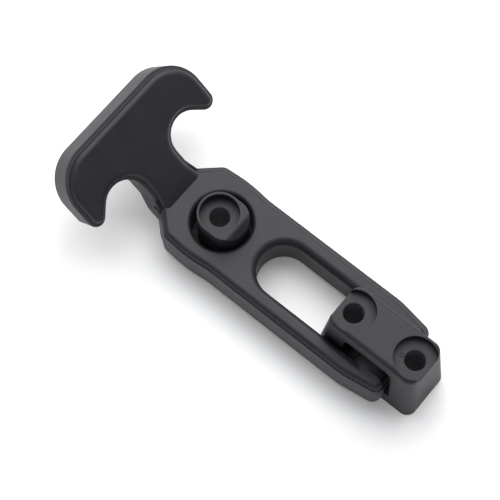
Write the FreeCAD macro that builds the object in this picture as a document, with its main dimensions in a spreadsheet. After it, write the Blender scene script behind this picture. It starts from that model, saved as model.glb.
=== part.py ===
import FreeCAD, Part

import math
import os

import Sketcher

Vector = FreeCAD.Vector
Placement = FreeCAD.Placement
Rotation = FreeCAD.Rotation

TOUCH = 1e-6

# Millimetres and degrees. X runs from the hinge bracket to the handle, Z up from the mounting
# surface, and the origin lies midway between the bracket's two screw holes.
SIZES = {
    # rubber body: flat plate
    "strap_lift": 3.0,
    "plate_height": 12.2,
    "ledge_height": 9.7,
    "crown_inset": 0.65,
    "wall_draft": 3.2,
    "strap_width": 31.0,
    "edge_round": 1.9,
    "leg_end_x": -8.8,
    "leg_end_wall": 4.4,
    "leg_end_round": 3.0,
    "leg_taper_x": 4.5,
    "leg_taper_round": 14.0,
    "heel_round": 3.0,
    "toe_in_x": -5.6,
    "foot_gap": 1.15,
    "window_side_gap": 0.45,
    "window_end_x": 48.35,
    "window_edge_round": 2.4,
    "hole_x": 65.4,
    "hole_edge_round": 1.4,
    "bulge_start_x": 59.3,
    "bulge_x": 67.3,
    "bulge_rise": 0.95,
    "bulge_softness": 0.75,
    "bulge_blend_round": 20.0,
    "shoulder_x": 77.2,
    "shoulder_rise": 0.1,
    "shoulder_round": 3.2,
    # rubber body: end bar that turns in the bracket
    "bar_x": -0.5,
    "bar_play": 3.9,
    "bar_root": 3.5,
    # rubber body: T handle, measured along its own slope from the crease
    "bend_angle": 40.0,
    "crease_x": 81.2,
    "neck_root_x": 84.3,
    "neck_root_width": 18.1,
    "neck_root_end": 0.6,
    "neck_root_round": 6.0,
    "neck_width": 15.3,
    "neck_start": 6.2,
    "neck_round": 6.0,
    "arm_angle": 47.0,
    "notch_round": 8.2,
    "tip_start": 9.6,
    "tip_round": 2.6,
    "handle_span": 58.4,
    "handle_reach": 35.2,
    "handle_corner": 12.9,
    "handle_edge_round": 1.9,
    # hinge bracket
    "screw_spacing": 24.0,
    "screw_hole_radius": 3.4,
    "head_recess_radius": 7.0,
    "head_recess_depth": 2.7,
    "bracket_height": 26.3,
    "bracket_foot_length": 38.9,
    "bracket_foot_width": 19.3,
    "bracket_top_length": 33.6,
    "bracket_top_width": 16.2,
    "bracket_corner": 3.4,
    "bracket_edge_round": 1.9,
    "front_foot_width": 17.2,
    "passage_height": 22.0,
    "passage_length": 17.8,
    "passage_foot_length": 21.1,
    "passage_corner": 2.5,
    "toe_gap": 16.2,
    "toe_height": 5.5,
    "toe_round": 1.2,
    "boss_radius": 4.8,
    # keeper
    "keeper_offset": 0.8,
    "keeper_gap": 2.6,
    "keeper_height": 21.1,
    "keeper_radius": 7.35,
    "keeper_rim": 0.85,
    "keeper_recess_depth": 3.6,
    "nose_gap": 0.95,
    "nose_corner": 6.4,
    "chin_margin": 0.3,
    "chin_round": 2.2,
    "chin_angle": 48.0,
    "flange_radius": 12.6,
    "flange_gap": 0.35,
}

# Sizes that follow from the pieces they have to clear or hold.
HALF_WINDOW = "(sizes.front_foot_width / 2 + sizes.window_side_gap)"
HALF_LEG_END = "(%s + sizes.leg_end_wall)" % HALF_WINDOW
BAR_RADIUS = "(sizes.screw_spacing / 2 - sizes.boss_radius - sizes.bar_play / 2)"
HOLE_RADIUS = "(sizes.keeper_radius + sizes.keeper_gap)"
KEEPER_X = "(sizes.hole_x + sizes.keeper_offset)"
BULGE_RUN = "(sizes.bulge_x - sizes.bulge_start_x)"

doc = FreeCAD.newDocument("rubber_t_draw_latch")
sheet = doc.addObject("Spreadsheet::Sheet", "sizes")
for row, (alias, number) in enumerate(SIZES.items(), start=1):
    sheet.set("A%d" % row, alias)
    sheet.set("B%d" % row, str(number))
    sheet.setAlias("B%d" % row, alias)
doc.recompute()


def value(formula):
    """The present value of a formula in the sheet's sizes."""
    return float(sheet.evalExpression(formula))


def origin_plane(body, role):
    for feature in body.Origin.OriginFeatures:
        if feature.Role == role:
            return feature
    raise ValueError(role)


def body_sketch(body, name, role="XY_Plane", height=None):
    """A sketch on one of the body's own origin planes, raised off it by a formula."""
    sketch = body.newObject("Sketcher::SketchObject", name)
    sketch.AttachmentSupport = (origin_plane(body, role), "")
    sketch.MapMode = "FlatFace"
    if height:
        sketch.setExpression("AttachmentOffset.Base.z", height)
    return sketch


def free_sketch(name, placement_formulas):
    """A sketch of the document whose placement follows formulas."""
    sketch = doc.addObject("Sketcher::SketchObject", name)
    for prop, formula in placement_formulas.items():
        sketch.setExpression("Placement." + prop, formula)
    return sketch


def fix_point(sketch, geometry, end, x, y):
    for kind, formula in (("DistanceX", x), ("DistanceY", y)):
        index = sketch.addConstraint(Sketcher.Constraint(kind, -1, 1, geometry, end, value(formula)))
        sketch.setExpression("Constraints[%d]" % index, formula)


def fix_radius(sketch, geometry, radius):
    index = sketch.addConstraint(Sketcher.Constraint("Radius", geometry, value(radius)))
    sketch.setExpression("Constraints[%d]" % index, radius)


def add_circle(sketch, x, y, radius):
    centre = Vector(value(x), value(y), 0)
    circle = sketch.addGeometry(Part.Circle(centre, Vector(0, 0, 1), value(radius)))
    fix_point(sketch, circle, 3, x, y)
    fix_radius(sketch, circle, radius)


def round_corner(points, i, radius):
    """Start, middle and end of the arc that rounds corner i of a closed outline."""
    corner = points[i]
    back = (points[i - 1] - corner).normalize()
    ahead = (points[(i + 1) % len(points)] - corner).normalize()
    half_angle = back.getAngle(ahead) / 2
    reach = radius / math.tan(half_angle)
    inward = (back + ahead).normalize()
    middle = corner + inward * (radius / math.sin(half_angle) - radius)
    return corner + back * reach, middle, corner + ahead * reach


def add_outline(sketch, corners):
    """A closed outline through corners given as (x, y, radius) formulas.

    Straight runs join the corners, and a corner with a radius is rounded by a tangent arc.
    """
    count = len(corners)
    points = [Vector(value(x), value(y), 0) for x, y, radius in corners]
    arcs = [round_corner(points, i, value(corners[i][2])) for i in range(count)]
    lines = []
    for i in range(count):
        lines.append(sketch.addGeometry(Part.LineSegment(arcs[i][2], arcs[(i + 1) % count][0])))
    for i, (x, y, radius) in enumerate(corners):
        line_in, line_out = lines[i - 1], lines[i]
        point = sketch.addGeometry(Part.Point(points[i]), True)
        fix_point(sketch, point, 1, x, y)
        if radius == "0":
            sketch.addConstraint(Sketcher.Constraint("Coincident", line_in, 2, point, 1))
            sketch.addConstraint(Sketcher.Constraint("Coincident", line_out, 1, point, 1))
            continue
        arc = sketch.addGeometry(Part.Arc(*arcs[i]))
        forward = sketch.getPoint(arc, 1).distanceToPoint(arcs[i][0]) < TOUCH
        first, last = (1, 2) if forward else (2, 1)
        sketch.addConstraint(Sketcher.Constraint("Tangent", line_in, 2, arc, first))
        sketch.addConstraint(Sketcher.Constraint("Tangent", line_out, 1, arc, last))
        sketch.addConstraint(Sketcher.Constraint("PointOnObject", point, 1, line_in))
        sketch.addConstraint(Sketcher.Constraint("PointOnObject", point, 1, line_out))
        fix_radius(sketch, arc, radius)


def add_slot(sketch, centre_x, square_x, radius):
    """A slot along X with a round end about centre_x and a square end at square_x."""
    r = value(radius)
    near, far = value(centre_x), value(square_x)
    side = 1 if near > far else -1
    end = sketch.addGeometry(Part.Arc(Vector(near, r, 0), Vector(near + side * r, 0, 0), Vector(near, -r, 0)))
    upper = sketch.addGeometry(Part.LineSegment(Vector(near, r, 0), Vector(far, r, 0)))
    lower = sketch.addGeometry(Part.LineSegment(Vector(near, -r, 0), Vector(far, -r, 0)))
    tail = sketch.addGeometry(Part.LineSegment(Vector(far, r, 0), Vector(far, -r, 0)))
    fix_point(sketch, end, 3, centre_x, "0")
    fix_radius(sketch, end, radius)
    join_tangent(sketch, upper, 1, end)
    join_tangent(sketch, lower, 1, end)
    sketch.addConstraint(Sketcher.Constraint("Horizontal", upper))
    sketch.addConstraint(Sketcher.Constraint("Horizontal", lower))
    sketch.addConstraint(Sketcher.Constraint("Coincident", upper, 2, tail, 1))
    sketch.addConstraint(Sketcher.Constraint("Coincident", lower, 2, tail, 2))
    sketch.addConstraint(Sketcher.Constraint("Vertical", tail))
    index = sketch.addConstraint(Sketcher.Constraint("DistanceX", -1, 1, tail, 1, far))
    sketch.setExpression("Constraints[%d]" % index, square_x)


def join_tangent(sketch, line, line_end, arc):
    """Join a line's end tangentially to the nearer end of an arc."""
    target = sketch.getPoint(line, line_end)
    near_start = sketch.getPoint(arc, 1).distanceToPoint(target) < TOUCH
    sketch.addConstraint(Sketcher.Constraint("Tangent", line, line_end, arc, 1 if near_start else 2))


def both_sides(corners):
    """Corners of the +Y side, followed by their mirror images in reverse order."""
    return corners + [(x, "-(%s)" % y, radius) for x, y, radius in reversed(corners)]


def extrude(name, profile, height, direction=("0", "0", "1"), draft=None):
    """A solid raised from a profile along a direction given as formulas; a draft widens it."""
    solid = doc.addObject("Part::Extrusion", name)
    solid.Base = profile
    solid.DirMode = "Custom"
    solid.Solid = True
    if draft:
        solid.setExpression("TaperAngle", draft)
    for axis, formula in zip("xyz", direction):
        solid.setExpression("Dir." + axis, formula)
    solid.setExpression("LengthFwd", height)
    return solid


def inset(name, profile, width):
    """The outline of a profile moved inwards, for the crown that stands on a ledge."""
    shape = doc.addObject("Part::Offset2D", name)
    shape.Source = profile
    shape.setExpression("Value", "-(%s)" % width)
    return shape


def cut(name, base, tool):
    result = doc.addObject("Part::Cut", name)
    result.Base = base
    result.Tool = tool
    return result


def fuse(name, shapes):
    result = doc.addObject("Part::MultiFuse", name)
    result.Shapes = shapes
    result.Refine = True
    return result


def round_edges(name, base, radius_of):
    """Round the edges of a solid that radius_of gives a radius for."""
    doc.recompute()
    result = doc.addObject("Part::Fillet", name)
    result.Base = base
    chosen = []
    for number, edge in enumerate(base.Shape.Edges, start=1):
        radius = radius_of(edge)
        if radius:
            chosen.append((number, radius, radius))
    result.Edges = chosen
    return result


def pocket(body, name, sketch, depth=None, both_ways=False):
    """A pocket of a given depth, or right through, towards the side that removes material."""
    doc.recompute()
    before = body.Shape.Volume
    feature = body.newObject("PartDesign::Pocket", name)
    feature.Profile = sketch
    feature.Midplane = both_ways
    if depth:
        feature.setExpression("Length", depth)
    else:
        feature.Type = 1
    doc.recompute()
    if before - feature.Shape.Volume < TOUCH:
        feature.Reversed = True
        doc.recompute()
    if before - feature.Shape.Volume < TOUCH:
        raise RuntimeError("%s removes nothing" % name)
    return feature


def pad(body, name, sketch, length, both_ways=False):
    feature = body.newObject("PartDesign::Pad", name)
    feature.Profile = sketch
    feature.Midplane = both_ways
    feature.setExpression("Length", length)
    return feature


# Rubber body. One moulding: a flat plate with a window for the bracket and a hole for the
# keeper, a round bar across its forked end, and a T handle bent up from it at the crease.
plate_corners = both_sides([
    ("sizes.leg_end_x", HALF_LEG_END, "sizes.leg_end_round"),
    ("sizes.leg_taper_x", "sizes.strap_width / 2", "sizes.leg_taper_round"),
    ("sizes.bulge_start_x", "sizes.strap_width / 2", "sizes.bulge_blend_round"),
    ("sizes.bulge_x", "sizes.strap_width / 2 + sizes.bulge_rise",
     "sizes.bulge_softness * %s^2 / sizes.bulge_rise" % BULGE_RUN),
    ("sizes.shoulder_x", "sizes.strap_width / 2 + sizes.shoulder_rise", "sizes.shoulder_round"),
    ("sizes.neck_root_x", "sizes.neck_root_width / 2", "0"),
    ("sizes.crease_x + sizes.plate_height * tan(sizes.bend_angle / 2)", "sizes.neck_root_width / 2", "0"),
])
plate_outline = free_sketch("plate_outline", {"Base.z": "sizes.strap_lift"})
add_outline(plate_outline, plate_corners)

openings_outline = free_sketch("openings_outline", {"Base.z": "sizes.strap_lift"})
add_slot(openings_outline, "sizes.window_end_x - " + HALF_WINDOW, "sizes.bar_x", HALF_WINDOW)
add_circle(openings_outline, "sizes.hole_x", "0", HOLE_RADIUS)
openings = extrude("openings", openings_outline, "sizes.plate_height")

plate_block = extrude("plate_block", plate_outline, "sizes.ledge_height", draft="sizes.wall_draft")
plate_wall = cut("plate_wall", plate_block, openings)
crown_outline = inset("crown_outline", plate_outline, "sizes.crown_inset")
plate_crown = cut("plate_crown", extrude("crown_block", crown_outline, "sizes.plate_height"), openings)
doc.recompute()


def crown_radius(edge):
    """Rounding of the plate's top edges: outer rim, window and keeper hole differ."""
    box = edge.BoundBox
    if box.ZMin < value("sizes.strap_lift + sizes.plate_height") - TOUCH:
        return 0
    if box.XMin > value("sizes.crease_x + sizes.crown_inset"):
        return 0
    if max(box.YMax, -box.YMin) > value(HALF_WINDOW) + TOUCH:
        is_hole = edge.isClosed()
        return value("sizes.hole_edge_round") if is_hole else value("sizes.edge_round")
    if box.XMax < value("sizes.bar_x") + TOUCH:
        return 0
    return value("sizes.window_edge_round")


plate_top = round_edges("plate_top", plate_crown, crown_radius)

# The handle's plane starts at the underside of the bend and rises at the bend angle.
NOTCH_APEX = "sizes.tip_start + (sizes.handle_span - sizes.neck_width) / 2 / tan(sizes.arm_angle)"
handle_corners = both_sides([
    ("-sizes.plate_height * tan(sizes.bend_angle / 2)", "sizes.neck_root_width / 2", "0"),
    ("sizes.neck_root_end", "sizes.neck_root_width / 2", "sizes.neck_root_round"),
    ("sizes.neck_start", "sizes.neck_width / 2", "sizes.neck_round"),
    (NOTCH_APEX, "sizes.neck_width / 2", "sizes.notch_round"),
    ("sizes.tip_start", "sizes.handle_span / 2", "sizes.tip_round"),
    ("sizes.handle_reach", "sizes.handle_span / 2", "sizes.handle_corner"),
])
handle_outline = free_sketch("handle_outline", {
    "Rotation.Angle": "sizes.bend_angle",
    "Rotation.Axis.x": "0",
    "Rotation.Axis.y": "-1",
    "Rotation.Axis.z": "0",
    "Base.x": "sizes.crease_x + sizes.plate_height * sin(sizes.bend_angle)",
    "Base.z": "sizes.strap_lift + sizes.plate_height * (1 - cos(sizes.bend_angle))",
})
add_outline(handle_outline, handle_corners)
handle_normal = ("-sin(sizes.bend_angle)", "0", "cos(sizes.bend_angle)")
handle_wall = extrude("handle_wall", handle_outline, "sizes.ledge_height", handle_normal,
                      "sizes.wall_draft")
handle_rim = inset("handle_rim", handle_outline, "sizes.crown_inset")
handle_crown = extrude("handle_crown", handle_rim, "sizes.plate_height", handle_normal)
doc.recompute()


def handle_radius(edge):
    """Rounding of the handle's upper rim; its hidden root edge stays sharp."""
    slope = handle_outline.Placement
    ends = [slope.inverse().multVec(vertex.Point) for vertex in edge.Vertexes]
    top = value("sizes.plate_height")
    if min(end.z for end in ends) < top - TOUCH:
        return 0
    if max(end.x for end in ends) < 0:
        return 0
    return value("sizes.handle_edge_round")


handle_top = round_edges("handle_top", handle_crown, handle_radius)

# The fork behind the bar toes in, so that the leg ends clear the bracket's wider rear foot.
fork_outline = free_sketch("fork_outline", {"Base.z": "sizes.strap_lift"})
add_outline(fork_outline, both_sides([
    ("sizes.bar_x", HALF_WINDOW, "0"),
    ("sizes.toe_in_x", HALF_WINDOW, "0"),
    ("sizes.leg_end_x - sizes.ledge_height * tan(sizes.wall_draft) - sizes.crown_inset",
     "sizes.bracket_foot_width / 2 + sizes.foot_gap", "0"),
]))
fork_gap = extrude("fork_gap", fork_outline, "sizes.plate_height")

# The heel is rounded, so that the leg ends clear the mounting surface as the body swings up.
heel_outline = free_sketch("heel_outline", {
    "Rotation.Angle": "90",
    "Rotation.Axis.x": "1",
    "Rotation.Axis.y": "0",
    "Rotation.Axis.z": "0",
    "Base.y": "sizes.strap_width / 2",
    "Base.z": "sizes.strap_lift",
})
add_outline(heel_outline, [
    ("sizes.leg_end_x - sizes.heel_round", "-sizes.heel_round", "0"),
    ("sizes.leg_end_x + 2 * sizes.heel_round", "-sizes.heel_round", "0"),
    ("sizes.leg_end_x + 2 * sizes.heel_round", "0", "0"),
    ("sizes.leg_end_x", "0", "sizes.heel_round"),
    ("sizes.leg_end_x - 2 * sizes.heel_round * tan(sizes.wall_draft)", "2 * sizes.heel_round", "0"),
    ("sizes.leg_end_x - sizes.heel_round", "2 * sizes.heel_round", "0"),
])
heel_cut = extrude("heel_cut", heel_outline, "sizes.strap_width", ("0", "-1", "0"))

rubber_block = fuse("rubber_block", [plate_wall, plate_top, handle_wall, handle_top])
forked = cut("forked_block", cut("block_without_fork", rubber_block, fork_gap), heel_cut)
bar = doc.addObject("Part::Cylinder", "end_bar")
bar.setExpression("Radius", BAR_RADIUS)
bar.setExpression("Height", "2 * (%s + sizes.bar_root)" % HALF_WINDOW)
bar.Placement = Placement(Vector(0, 0, 0), Rotation(Vector(1, 0, 0), 90))
bar.setExpression("Placement.Base.x", "sizes.bar_x")
bar.setExpression("Placement.Base.y", "%s + sizes.bar_root" % HALF_WINDOW)
bar.setExpression("Placement.Base.z", "sizes.strap_lift + sizes.plate_height - " + BAR_RADIUS)
rubber_body = fuse("rubber_body", [forked, bar])
doc.recompute()

# Hinge bracket. A moulded arch: two feet with screw holes, and a passage for the end bar.
hinge_bracket = doc.addObject("PartDesign::Body", "hinge_bracket")


def rounded(body, name, radius, is_rounded):
    """Round the body's present edges for which is_rounded answers yes."""
    doc.recompute()
    tip = body.Tip
    chosen = []
    for number, edge in enumerate(tip.Shape.Edges, start=1):
        if is_rounded(edge):
            chosen.append("Edge%d" % number)
    feature = body.newObject("PartDesign::Fillet", name)
    feature.Base = (tip, chosen)
    feature.setExpression("Radius", radius)
    return feature


def is_upright(edge):
    return edge.BoundBox.ZLength > value("sizes.bracket_height") - TOUCH


def is_top_rim(edge):
    return edge.BoundBox.ZMin > value("sizes.bracket_height") - TOUCH


side_outline = body_sketch(hinge_bracket, "side_outline", "XZ_Plane")
add_outline(side_outline, [
    ("-sizes.bracket_foot_length / 2", "0", "0"),
    ("-sizes.bracket_top_length / 2", "sizes.bracket_height", "0"),
    ("sizes.bracket_top_length / 2", "sizes.bracket_height", "0"),
    ("sizes.bracket_foot_length / 2", "0", "0"),
])
pad(hinge_bracket, "block", side_outline, "sizes.bracket_foot_width", both_ways=True)
draft_outline = body_sketch(hinge_bracket, "draft_outline", "YZ_Plane")
for sign in ("", "-"):
    add_outline(draft_outline, [
        (sign + "sizes.bracket_foot_width / 2", "0", "0"),
        (sign + "sizes.bracket_top_width / 2", "sizes.bracket_height", "0"),
        (sign + "sizes.bracket_foot_width / 2", "sizes.bracket_height", "0"),
    ])
pocket(hinge_bracket, "side_draft", draft_outline, both_ways=True)
rounded(hinge_bracket, "upright_corners", "sizes.bracket_corner", is_upright)
rounded(hinge_bracket, "top_rim", "sizes.bracket_edge_round", is_top_rim)

passage_outline = body_sketch(hinge_bracket, "passage_outline", "XZ_Plane")
side = [
    ("sizes.toe_gap / 2", "-sizes.toe_height", "0"),
    ("sizes.toe_gap / 2", "sizes.toe_height", "sizes.toe_round"),
    ("sizes.passage_foot_length / 2", "sizes.toe_height", "0"),
    ("sizes.passage_length / 2", "sizes.passage_height", "sizes.passage_corner"),
]
add_outline(passage_outline, side + [("-(%s)" % x, z, radius) for x, z, radius in reversed(side)])
pocket(hinge_bracket, "passage", passage_outline, both_ways=True)

flank_outline = body_sketch(hinge_bracket, "flank_outline", "YZ_Plane")
flank_top = ("(sizes.bracket_foot_width + (sizes.bracket_top_width - sizes.bracket_foot_width)"
             " * sizes.passage_height / sizes.bracket_height) / 2")
for sign in ("", "-"):
    add_outline(flank_outline, [
        (sign + "sizes.front_foot_width / 2", "0", "0"),
        (sign + flank_top, "sizes.passage_height", "0"),
        (sign + "sizes.bracket_foot_width / 2", "sizes.passage_height", "0"),
        (sign + "sizes.bracket_foot_width / 2", "0", "0"),
    ])
flank = hinge_bracket.newObject("PartDesign::Pocket", "front_flanks")
flank.Profile = flank_outline
flank.Reversed = True
flank.setExpression("Length", "sizes.bracket_foot_length")
doc.recompute()

boss_outline = body_sketch(hinge_bracket, "boss_outline")
for sign in ("-", ""):
    add_circle(boss_outline, sign + "sizes.screw_spacing / 2", "0", "sizes.boss_radius")
pad(hinge_bracket, "screw_bosses", boss_outline, "sizes.passage_height")

recess_outline = body_sketch(hinge_bracket, "recess_outline", height="sizes.bracket_height")
hole_outline = body_sketch(hinge_bracket, "hole_outline")
for sign in ("-", ""):
    add_circle(recess_outline, sign + "sizes.screw_spacing / 2", "0", "sizes.head_recess_radius")
    add_circle(hole_outline, sign + "sizes.screw_spacing / 2", "0", "sizes.screw_hole_radius")
pocket(hinge_bracket, "head_recesses", recess_outline, "sizes.head_recess_depth")
pocket(hinge_bracket, "screw_holes", hole_outline)

# Keeper. A post with a recessed screw seat, a nose with a sloping chin towards the bracket, and
# a flange under the plate.
keeper = doc.addObject("PartDesign::Body", "keeper")
flange_outline = body_sketch(keeper, "flange_outline")
add_circle(flange_outline, KEEPER_X, "0", "sizes.flange_radius")
pad(keeper, "flange", flange_outline, "sizes.strap_lift - sizes.flange_gap")
post_outline = body_sketch(keeper, "post_outline")
add_circle(post_outline, KEEPER_X, "0", "sizes.keeper_radius")
pad(keeper, "post", post_outline, "sizes.keeper_height")
nose_outline = body_sketch(keeper, "nose_outline")
NOSE_X = "(sizes.hole_x - %s + sizes.nose_gap)" % HOLE_RADIUS
add_outline(nose_outline, both_sides([
    (NOSE_X, "sizes.keeper_radius", "sizes.nose_corner"),
    (KEEPER_X, "sizes.keeper_radius", "0"),
]))
pad(keeper, "nose", nose_outline, "sizes.keeper_height")

SEAT_RADIUS = "(sizes.keeper_radius - sizes.keeper_rim)"
chin_outline = body_sketch(keeper, "chin_outline", "XZ_Plane")
chin_knee = "(%s - %s - sizes.chin_margin - sizes.chin_round * tan(sizes.chin_angle / 2))" % (
    KEEPER_X, SEAT_RADIUS)
chin_end = "(%s - sizes.chin_margin)" % NOSE_X
chin_drop = "(%s - %s) * tan(sizes.chin_angle)" % (chin_knee, chin_end)
add_outline(chin_outline, [
    (KEEPER_X + " - " + SEAT_RADIUS, "sizes.keeper_height", "0"),
    (chin_knee, "sizes.keeper_height", "sizes.chin_round"),
    (chin_end, "sizes.keeper_height - " + chin_drop, "0"),
    (chin_end, "sizes.keeper_height + sizes.chin_round", "0"),
    (KEEPER_X + " - " + SEAT_RADIUS, "sizes.keeper_height + sizes.chin_round", "0"),
])
pocket(keeper, "chin", chin_outline, both_ways=True)

seat_outline = body_sketch(keeper, "seat_outline", height="sizes.keeper_height")
add_circle(seat_outline, KEEPER_X, "0", SEAT_RADIUS)
pocket(keeper, "screw_seat", seat_outline, "sizes.keeper_recess_depth")
keeper_hole_outline = body_sketch(keeper, "keeper_hole_outline")
add_circle(keeper_hole_outline, KEEPER_X, "0", "sizes.screw_hole_radius")
pocket(keeper, "keeper_hole", keeper_hole_outline)
doc.recompute()

for item in doc.Objects:
    if "Invalid" in item.State or "Error" in item.State:
        raise RuntimeError("%s failed: %s" % (item.Name, item.State))

os.makedirs("parts", exist_ok=True)
for node in (rubber_body, hinge_bracket, keeper):
    if node.Shape.isNull() or not node.Shape.isValid():
        raise RuntimeError("%s has no valid shape" % node.Label)
    node.Shape.exportStep("parts/%s.step" % node.Label)
    print(node.Label, round(node.Shape.Volume, 1), node.Shape.BoundBox)
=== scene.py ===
import math

import bmesh
import bpy
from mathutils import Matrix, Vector


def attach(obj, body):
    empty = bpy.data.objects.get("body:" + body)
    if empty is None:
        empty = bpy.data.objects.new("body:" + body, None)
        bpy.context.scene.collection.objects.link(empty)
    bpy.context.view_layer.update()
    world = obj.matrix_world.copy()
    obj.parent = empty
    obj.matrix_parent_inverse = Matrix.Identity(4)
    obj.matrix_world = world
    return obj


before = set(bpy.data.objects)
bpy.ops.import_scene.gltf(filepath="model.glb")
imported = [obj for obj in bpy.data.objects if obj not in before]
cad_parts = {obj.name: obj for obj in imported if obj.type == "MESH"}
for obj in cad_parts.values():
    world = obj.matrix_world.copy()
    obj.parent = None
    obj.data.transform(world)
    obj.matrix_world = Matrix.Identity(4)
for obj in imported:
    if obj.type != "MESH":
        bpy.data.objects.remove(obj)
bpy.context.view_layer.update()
print("frame loaded")

# the photograph's own view: a long lens, high above the hinge end
viewSetup = {
    "place": (-0.0699, 0.14985, 0.52293),
    "lookAt": (0.05507, -0.00175, 0.003),
    "sensorWidth": 36.0,
    "focalPixels": 1700.0,
    "frameWidthPixels": 500.0,
    "farLimit": 20.0,
}

# a pale floor, a weak even sky and one large soft panel on the far side
lightSetup = {
    "floorSize": 6.0,
    "floorColour": (0.92, 0.92, 0.925, 1),
    "floorRoughness": 0.9,
    "floorGlow": 0.1,
    "skyColour": (0.97, 0.985, 1.0, 1),
    "skyStrength": 0.42,
    "panelPlace": (0.51, -0.585, 1.07),
    "panelAim": (0.055, 0, 0),
    "panelSize": (1.6, 1.6),
    "panelWatts": 28.0,
}

noiseMiddle = 0.5  # the level that a noise texture varies about


class Signal:  # a node's output, usable in plain arithmetic
    def __init__(self, graph, socket):
        self.graph = graph
        self.socket = socket

    def mathWith(self, operation, first, second):
        return self.graph.node("ShaderNodeMath", {"operation": operation}, {0: first, 1: second})

    def __add__(self, other):
        return self.mathWith("ADD", self, other)

    def __sub__(self, other):
        return self.mathWith("SUBTRACT", self, other)

    def __mul__(self, other):
        return self.mathWith("MULTIPLY", self, other)

    def __pow__(self, other):
        return self.mathWith("POWER", self, other)

    def __radd__(self, other):
        return self.mathWith("ADD", other, self)

    def __rsub__(self, other):
        return self.mathWith("SUBTRACT", other, self)

    def over(self, edge, width):  # 0 below the edge, 1 above it, soft over the width
        return self.graph.node("ShaderNodeMapRange", {"interpolation_type": "SMOOTHSTEP"},
                               {"Value": self, "From Min": edge - width / 2,
                                "From Max": edge + width / 2})

    def under(self, edge, width):
        return 1 - self.over(edge, width)

    def within(self, centre, reach, width):  # 1 within the reach of the centre, 0 beyond it
        return self.over(centre - reach, width) - self.over(centre + reach, width)


class Graph:  # one material's node tree
    def __init__(self, name):
        self.material = bpy.data.materials.new(name)
        self.material.use_nodes = True
        self.tree = self.material.node_tree
        self.tree.nodes.clear()
        self.place = self.node("ShaderNodeTexCoord", output="Object")

    def node(self, kind, settings=None, sockets=None, output=0):
        made = self.tree.nodes.new(kind)
        for key, value in (settings or {}).items():
            setattr(made, key, value)
        for key, value in (sockets or {}).items():
            if isinstance(value, Signal):
                self.tree.links.new(value.socket, made.inputs[key])
            else:
                made.inputs[key].default_value = value
        return Signal(self, made.outputs[output]) if made.outputs else None

    def noise(self, scale, detail, roughness=0.55):
        return self.node("ShaderNodeTexNoise", {"noise_dimensions": "3D"},
                         {"Vector": self.place, "Scale": scale, "Detail": detail,
                          "Roughness": roughness})

    def split(self, vector):  # the x, y and z of a vector
        parts = self.node("ShaderNodeSeparateXYZ", None, {"Vector": vector})
        return [Signal(self, socket) for socket in parts.socket.node.outputs]

    def mixColours(self, factor, first, second):  # inputs 6 and 7, output 2 carry colours
        return self.node("ShaderNodeMix", {"data_type": "RGBA"},
                         {0: factor, 6: first, 7: second}, output=2)

    def bump(self, height, strength, distance, normal):
        return self.node("ShaderNodeBump", None, {"Height": height, "Strength": strength,
                                                  "Distance": distance, "Normal": normal})

    def softEdges(self, radius, samples=8):  # a normal that rounds sharp edges
        return self.node("ShaderNodeBevel", {"samples": samples}, {"Radius": radius})

    def finish(self, sockets):
        shader = self.node("ShaderNodeBsdfPrincipled", None, sockets)
        self.node("ShaderNodeOutputMaterial", None, {"Surface": shader})
        return self.material


def addAimed(name, data, place, target):  # a camera or lamp that looks at the target
    holder = bpy.data.objects.new(name, data)
    holder.location = place
    aim = Vector(target) - Vector(place)
    holder.rotation_euler = aim.to_track_quat("-Z", "Y").to_euler()
    bpy.context.scene.collection.objects.link(holder)
    return holder


def addCamera():
    v = viewSetup
    camera = bpy.data.cameras.new("photoCamera")
    camera.sensor_width = v["sensorWidth"]
    camera.lens = v["focalPixels"] / v["frameWidthPixels"] * v["sensorWidth"]
    camera.clip_end = v["farLimit"]
    bpy.context.scene.camera = addAimed("photoCamera", camera, v["place"], v["lookAt"])


def addFloor():
    half = lightSetup["floorSize"] / 2
    mesh = bpy.data.meshes.new("floor")
    corners = [(-half, -half, 0), (half, -half, 0), (half, half, 0), (-half, half, 0)]
    mesh.from_pydata(corners, [], [(0, 1, 2, 3)])
    floor = bpy.data.objects.new("floor", mesh)
    bpy.context.scene.collection.objects.link(floor)
    colour = lightSetup["floorColour"]
    mesh.materials.append(Graph("paleFloor").finish({
        "Base Color": colour, "Roughness": lightSetup["floorRoughness"],
        "Emission Color": colour, "Emission Strength": lightSetup["floorGlow"]}))


def addLight():
    world = bpy.data.worlds.new("softSky")
    world.use_nodes = True
    sky = world.node_tree.nodes["Background"]
    sky.inputs["Color"].default_value = lightSetup["skyColour"]
    sky.inputs["Strength"].default_value = lightSetup["skyStrength"]
    bpy.context.scene.world = world
    lamp = bpy.data.lights.new("overheadPanel", "AREA")
    lamp.shape = "RECTANGLE"
    lamp.size, lamp.size_y = lightSetup["panelSize"]
    lamp.energy = lightSetup["panelWatts"]
    addAimed("overheadPanel", lamp, lightSetup["panelPlace"], lightSetup["panelAim"])


# painted fill light: pale colour on faces that lie deep in shade
paintedFillLight = {
    "shade": (0.05, 0.052, 0.059, 1),
    "strength": 0.8,
    "soft": 0.0025,
}


# paints fill light: mixes the pale shade into the colour under the mask
def addPaintedFillLight(g, colour, mask):
    return g.mixColours(mask * paintedFillLight["strength"], colour, paintedFillLight["shade"])


def aroundAxis(x, y, centreX, reach, soft):  # 1 inside an upright cylinder, 0 outside it
    return (((x - centreX) ** 2 + y ** 2) ** 0.5).under(reach, soft)


def mouldedColour(g, f, patches, grain):
    share = f["patchShare"]
    shade = (patches * share + grain * (1 - share)).over(noiseMiddle, f["shadeSoft"])
    return g.mixColours(shade, f["deep"], f["pale"])


def finishMoulded(g, f, patches, grain, colour):
    rough = f["roughness"] + (patches - noiseMiddle) * f["roughnessSpread"]
    normal = g.bump(grain, f["grainStrength"], f["grainHeight"], g.softEdges(f["edgeRound"]))
    return g.finish({"Base Color": colour, "Roughness": rough, "Normal": normal, "IOR": f["ior"]})


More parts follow.
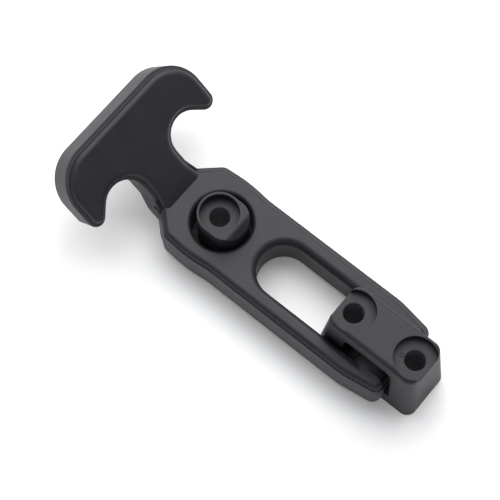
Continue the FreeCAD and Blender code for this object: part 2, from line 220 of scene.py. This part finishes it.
# strap and handle: matt moulded rubber, dark, with a fine tooth and faint handling marks
rubberFinish = {
    "deep": (0.008, 0.0084, 0.0108, 1),
    "pale": (0.0145, 0.0154, 0.0215, 1),
    "patchScale": 90.0,
    "patchDetail": 4.0,
    "patchShare": 0.7,
    "shadeSoft": 0.5,
    "grainScale": 2600.0,
    "grainDetail": 2.0,
    "grainHeight": 0.00003,
    "grainStrength": 0.35,
    "edgeRound": 0.0004,
    "roughness": 0.5,
    "roughnessSpread": 0.18,
    "ior": 1.44,
    # parting line: the step between wall and crown, paler as moulding flash plus a painted
    # highlight, on the near side and the handle
    "partingFlashAndHighlight": (0.06, 0.062, 0.068, 1),
    "partingStrength": 0.7,
    "partingHeight": 0.0128,
    "partingReach": 0.00035,
    "partingSoft": 0.00006,
    "partingSide": 0.0112,
    # handle's walls: mottled with paler specks
    # painted light: paler handle walls stand in for the light they catch; the specks are also
    # real mottling
    "wallSpeckAndPaintedLight": (0.05, 0.051, 0.055, 1),
    "wallStrength": 0.5,
    "wallTop": 0.0097,
    "wallSoft": 0.0003,
    "speckScale": 1700.0,
    "speckDetail": 3.0,
    "speckSoft": 0.4,
    # painted fill light: the keeper hole's wall and the end bar
    "wellX": 0.0654,
    "wellReach": 0.0102,
    "wellTop": 0.0128,
    "barReach": 0.0088,
    "barSide": 0.0095,
    # where the flat plate ends and the bent handle begins
    "creaseX": 0.0812,
    "plateEndX": 0.0842,
    "handleStartX": 0.0862,
    "zoneSoft": 0.0002,
    "bendAngle": 40.0,
    "plateThickness": 0.0122,
    "strapLift": 0.003,
}


def handleHeight(x, z, f):  # height above the bent handle's own underside
    bend = math.radians(f["bendAngle"])
    rootX = f["creaseX"] + f["plateThickness"] * math.sin(bend)
    rootZ = f["strapLift"] + f["plateThickness"] * (1 - math.cos(bend))
    return (z - rootZ) * math.cos(bend) - (x - rootX) * math.sin(bend)


def rubberMaterial():
    f = rubberFinish
    g = Graph("mouldedRubber")
    x, y, z = g.split(g.place)
    height = handleHeight(x, z, f)
    onHandle = x.over(f["handleStartX"], f["zoneSoft"])
    patches = g.noise(f["patchScale"], f["patchDetail"])
    grain = g.noise(f["grainScale"], f["grainDetail"])
    colour = mouldedColour(g, f, patches, grain)

    # painted fill light: the keeper hole's wall and the end bar made paler in their shade
    soft = paintedFillLight["soft"]
    inWell = aroundAxis(x, y, f["wellX"], f["wellReach"], soft) * z.under(f["wellTop"], soft)
    onBar = x.within(0, f["barReach"], soft) * y.within(0, f["barSide"], soft)
    colour = addPaintedFillLight(g, colour, inWell + onBar)

    # painted light on the handle's walls, broken into paler specks
    specks = g.noise(f["speckScale"], f["speckDetail"]).over(noiseMiddle, f["speckSoft"])
    walls = onHandle * height.under(f["wallTop"], f["wallSoft"]) * specks
    colour = g.mixColours(walls * f["wallStrength"], colour, f["wallSpeckAndPaintedLight"])

    line = f["partingReach"], f["partingSoft"]
    nearPlate = x.under(f["plateEndX"], f["zoneSoft"]) * y.over(f["partingSide"], f["zoneSoft"])
    plateLine = z.within(f["partingHeight"], *line) * nearPlate
    handleLine = height.within(f["partingHeight"] - f["strapLift"], *line) * onHandle
    # parting line: partly paler flash, partly a painted highlight on the shaded ledge
    parting = (plateLine + handleLine) * f["partingStrength"]
    colour = g.mixColours(parting, colour, f["partingFlashAndHighlight"])
    return finishMoulded(g, f, patches, grain, colour)


# bracket and keeper: harder nylon with a finer grain
nylonFinish = {
    "deep": (0.0082, 0.0086, 0.0112, 1),
    "pale": (0.0145, 0.0154, 0.0225, 1),
    "patchScale": 140.0,
    "patchDetail": 4.0,
    "patchShare": 0.6,
    "shadeSoft": 0.5,
    "grainScale": 3400.0,
    "grainDetail": 2.0,
    "grainHeight": 0.00002,
    "grainStrength": 0.3,
    "edgeRound": 0.0004,
    "roughness": 0.52,
    "roughnessSpread": 0.15,
    "ior": 1.44,
    # screw holes: painted fill light, paler inside the bores that lie in shade
    "holePaintedFill": (0.11, 0.115, 0.13, 1),
    "holeReach": 0.00343,
    "holeSoft": 0.00006,
    "holeCentres": (-0.012, 0.012, 0.0662),
    # painted fill light: the keeper's lower post and the bracket's passage
    "keeperX": 0.0662,
    "postReach": 0.0115,
    "postTop": 0.0128,
    "passageReach": 0.0084,
    "passageTop": 0.0205,
}


def nylonMaterial():
    f = nylonFinish
    g = Graph("mouldedNylon")
    x, y, z = g.split(g.place)
    patches = g.noise(f["patchScale"], f["patchDetail"])
    grain = g.noise(f["grainScale"], f["grainDetail"])
    colour = mouldedColour(g, f, patches, grain)

    # painted fill light: the keeper's post and the bracket's passage made paler in their shade
    soft = paintedFillLight["soft"]
    onPost = aroundAxis(x, y, f["keeperX"], f["postReach"], soft) * z.under(f["postTop"], soft)
    inPassage = x.within(0, f["passageReach"], soft) * z.under(f["passageTop"], soft)
    colour = addPaintedFillLight(g, colour, onPost + inPassage)

    # painted fill light inside each screw hole
    for centreX in f["holeCentres"]:
        inside = aroundAxis(x, y, centreX, f["holeReach"], f["holeSoft"])
        colour = g.mixColours(inside, colour, f["holePaintedFill"])
    return finishMoulded(g, f, patches, grain, colour)


def addPiece(name, mesh, material):
    mesh.materials.clear()
    mesh.materials.append(material)
    piece = bpy.data.objects.new(name, mesh)
    bpy.context.scene.collection.objects.link(piece)
    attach(piece, "root")


# toes of the bracket's two feet: rounded lips across its passage, under the end bar
footToes = {
    # the rear toe mirrors the front one and also hides the floor under the bar, a solid standing
    # in for shade there
    "sides": {"frontToe": 1, "rearToe": -1},
    "tipX": 0.005,
    "rootX": 0.0083,
    "height": 0.0055,
    "round": 0.0012,
    "halfWidth": 0.00857,
    "arcSteps": 8,
}


def addFootToe(name, side, material):
    t = footToes
    centreX, centreZ = t["tipX"] + t["round"], t["height"] - t["round"]
    profile = [(t["tipX"], 0), (t["rootX"], 0), (t["rootX"], t["height"])]
    for step in range(t["arcSteps"] + 1):
        angle = math.pi / 2 * (1 + step / t["arcSteps"])
        profile.append((centreX + t["round"] * math.cos(angle),
                        centreZ + t["round"] * math.sin(angle)))
    shape = bmesh.new()
    ends = []
    for y in (-t["halfWidth"], t["halfWidth"]):
        ends.append([shape.verts.new((side * x, y, z)) for x, z in profile])
        shape.faces.new(ends[-1])
    for i in range(len(profile)):  # walls between the two ends
        shape.faces.new((ends[0][i - 1], ends[0][i], ends[1][i], ends[1][i - 1]))
    bmesh.ops.recalc_face_normals(shape, faces=shape.faces)
    mesh = bpy.data.meshes.new(name)
    shape.to_mesh(mesh)
    shape.free()
    addPiece(name, mesh, material)


# ejector pin's mark on the rear screw recess: a faint raised ring
ejectorMark = {
    "centre": (-0.0078, 0.0011, 0.0236),
    "ringRadius": 0.00062,
    "beadRadius": 0.00013,
    "ringSteps": 40,
    "beadSteps": 10,
}


def addEjectorMark(material):
    m = ejectorMark
    tree = bpy.data.node_groups.new("ejectorRing", "GeometryNodeTree")
    chosen = {}
    for name, value in (("Ring radius", m["ringRadius"]), ("Bead radius", m["beadRadius"])):
        socket = tree.interface.new_socket(name, in_out="INPUT", socket_type="NodeSocketFloat")
        chosen[socket.identifier] = value
    tree.interface.new_socket("Geometry", in_out="OUTPUT", socket_type="NodeSocketGeometry")
    inputs = tree.nodes.new("NodeGroupInput")
    path = tree.nodes.new("GeometryNodeCurvePrimitiveCircle")
    path.inputs["Resolution"].default_value = m["ringSteps"]
    bead = tree.nodes.new("GeometryNodeCurvePrimitiveCircle")
    bead.inputs["Resolution"].default_value = m["beadSteps"]
    swept = tree.nodes.new("GeometryNodeCurveToMesh")
    placed = tree.nodes.new("GeometryNodeTransform")
    placed.inputs["Translation"].default_value = m["centre"]
    real = tree.nodes.new("GeometryNodeRealizeInstances")
    finish = tree.nodes.new("GeometryNodeSetMaterial")
    finish.inputs["Material"].default_value = material
    output = tree.nodes.new("NodeGroupOutput")
    for source, target in ((inputs.outputs["Ring radius"], path.inputs["Radius"]),
                           (inputs.outputs["Bead radius"], bead.inputs["Radius"]),
                           (path.outputs["Curve"], swept.inputs["Curve"]),
                           (bead.outputs["Curve"], swept.inputs["Profile Curve"]),
                           (swept.outputs["Mesh"], placed.inputs["Geometry"]),
                           (placed.outputs["Geometry"], real.inputs["Geometry"]),
                           (real.outputs["Geometry"], finish.inputs["Geometry"]),
                           (finish.outputs["Geometry"], output.inputs["Geometry"])):
        tree.links.new(source, target)
    holder = bpy.data.objects.new("ringMaker", bpy.data.meshes.new("ringMaker"))
    bpy.context.scene.collection.objects.link(holder)
    modifier = holder.modifiers.new("ejectorRing", "NODES")
    modifier.node_group = tree
    for identifier, value in chosen.items():
        modifier[identifier] = value
    made = holder.evaluated_get(bpy.context.evaluated_depsgraph_get())
    mesh = bpy.data.meshes.new_from_object(made)
    bpy.data.objects.remove(holder)
    addPiece("ejectorMark", mesh, material)


def dress(node, material):
    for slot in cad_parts[node].material_slots:
        slot.material = material


bpy.context.scene.view_settings.view_transform = "Standard"
addCamera()
addFloor()
addLight()
print("camera, floor and lights placed")

dress("rubber_body", rubberMaterial())
nylon = nylonMaterial()
dress("hinge_bracket", nylon)
dress("keeper", nylon)
print("finishes assigned")

for toeName, toeSide in footToes["sides"].items():
    addFootToe(toeName, toeSide, nylon)
addEjectorMark(nylon)
print("bracket's toes and ejector mark added")
